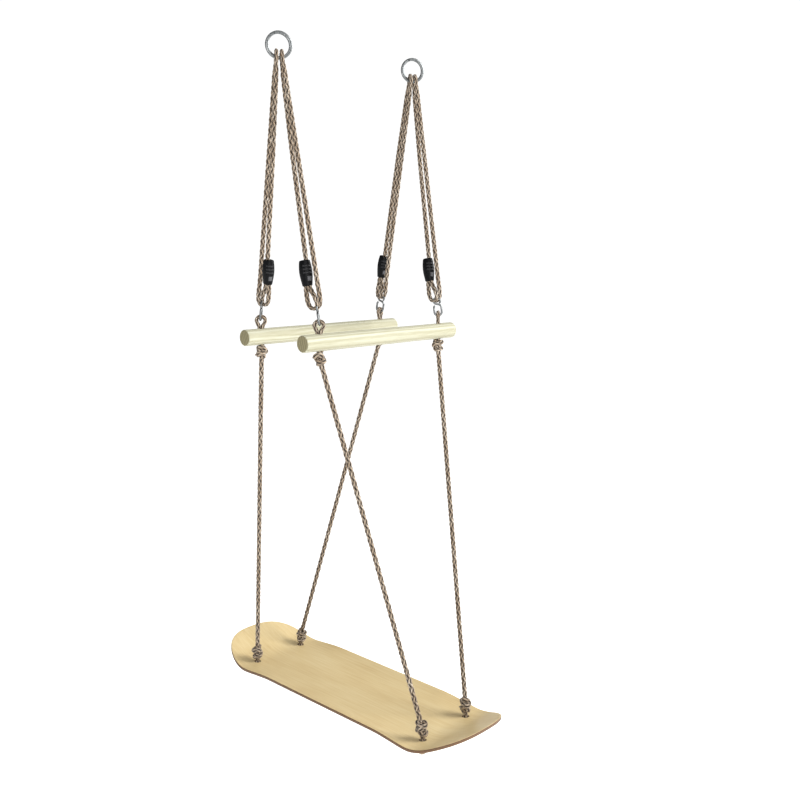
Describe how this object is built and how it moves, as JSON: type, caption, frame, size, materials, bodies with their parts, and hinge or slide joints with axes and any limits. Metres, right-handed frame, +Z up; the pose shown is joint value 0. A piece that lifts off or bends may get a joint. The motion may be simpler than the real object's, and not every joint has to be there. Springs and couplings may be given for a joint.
{
  "type": "stand-up board swing",
  "caption": "Stand-up swing: kicked wooden deck hung on braided ropes below wooden handle bars, with rope adjusters and steel hanging rings.",
  "frame": {"origin": "centre of the deck's flat top face, where the rider stands", "axes": "+Z up towards the rings, +X along the deck towards the front handle bar, +Y along the handle bars towards the right ring"},
  "size_m": [0.78, 0.45, 1.4759],
  "materials": {
    "galvanised_steel": "zinc-plated, satin with bright spots",
    "braided_rope": "matt tan-brown braided hemp-look fibre",
    "black_plastic": "moulded, slight sheen",
    "bar_wood": "pale sanded softwood with fine grain",
    "deck_wood": "honey-coloured lacquered plywood, satin"
  },
  "bodies": {
    "rings": {"ring_left": "galvanised_steel", "ring_right": "galvanised_steel"},
    "sling": {"hanging_rope_front_left": "braided_rope", "hanging_rope_rear_left": "braided_rope", "hanging_rope_front_right": "braided_rope", "hanging_rope_rear_right": "braided_rope", "s_hook_front_left": "galvanised_steel", "s_hook_rear_left": "galvanised_steel", "s_hook_front_right": "galvanised_steel", "s_hook_rear_right": "galvanised_steel"},
    "front_side": {"handle_bar_front": "bar_wood", "board_rope_front_left": "braided_rope", "board_rope_front_right": "braided_rope"},
    "rear_side": {"handle_bar_rear": "bar_wood", "board_rope_rear_left": "braided_rope", "board_rope_rear_right": "braided_rope"},
    "deck": {"deck": "deck_wood"},
    "adjuster_front_left": {"adjuster_front_left": "black_plastic"},
    "adjuster_rear_left": {"adjuster_rear_left": "black_plastic"},
    "adjuster_front_right": {"adjuster_front_right": "black_plastic"},
    "adjuster_rear_right": {"adjuster_rear_right": "black_plastic"}
  },
  "joints": [
    {"name": "swing", "type": "hinge", "parent": "rings", "child": "sling", "pos_m": [0, 0, 1.388], "axis": [0, 1, 0], "range_deg": [-40, 40]},
    {"name": "front_sway", "type": "hinge", "parent": "sling", "child": "front_side", "pos_m": [0.093, 0, 0.8745], "axis": [0, 1, 0], "range_deg": [-8, 8]},
    {"name": "rear_sway", "type": "hinge", "parent": "sling", "child": "rear_side", "pos_m": [-0.093, 0, 0.8745], "axis": [0, 1, 0], "range_deg": [-8, 8]},
    {"name": "deck_tilt", "type": "hinge", "parent": "front_side", "child": "deck", "pos_m": [0.278, 0, -0.004], "axis": [0, 1, 0], "range_deg": [-3, 3]},
    {"name": "adjuster_slide_front_left", "type": "slide", "parent": "sling", "child": "adjuster_front_left", "axis": [-0.1777, 0.0052, 0.9841], "range_m": [0, 0.2]},
    {"name": "adjuster_slide_rear_left", "type": "slide", "parent": "sling", "child": "adjuster_rear_left", "axis": [0.1766, -0.0499, 0.983], "range_m": [0, 0.2]},
    {"name": "adjuster_slide_front_right", "type": "slide", "parent": "sling", "child": "adjuster_front_right", "axis": [-0.1767, 0.0503, 0.983], "range_m": [0, 0.2]},
    {"name": "adjuster_slide_rear_right", "type": "slide", "parent": "sling", "child": "adjuster_rear_right", "axis": [0.168, 0.0219, 0.9855], "range_m": [0, 0.2]}
  ],
  "couplings": [
    {"joint": "rear_sway", "follows": "front_sway", "ratio": 1},
    {"joint": "deck_tilt", "follows": "front_sway", "ratio": -0.3346}
  ]
}
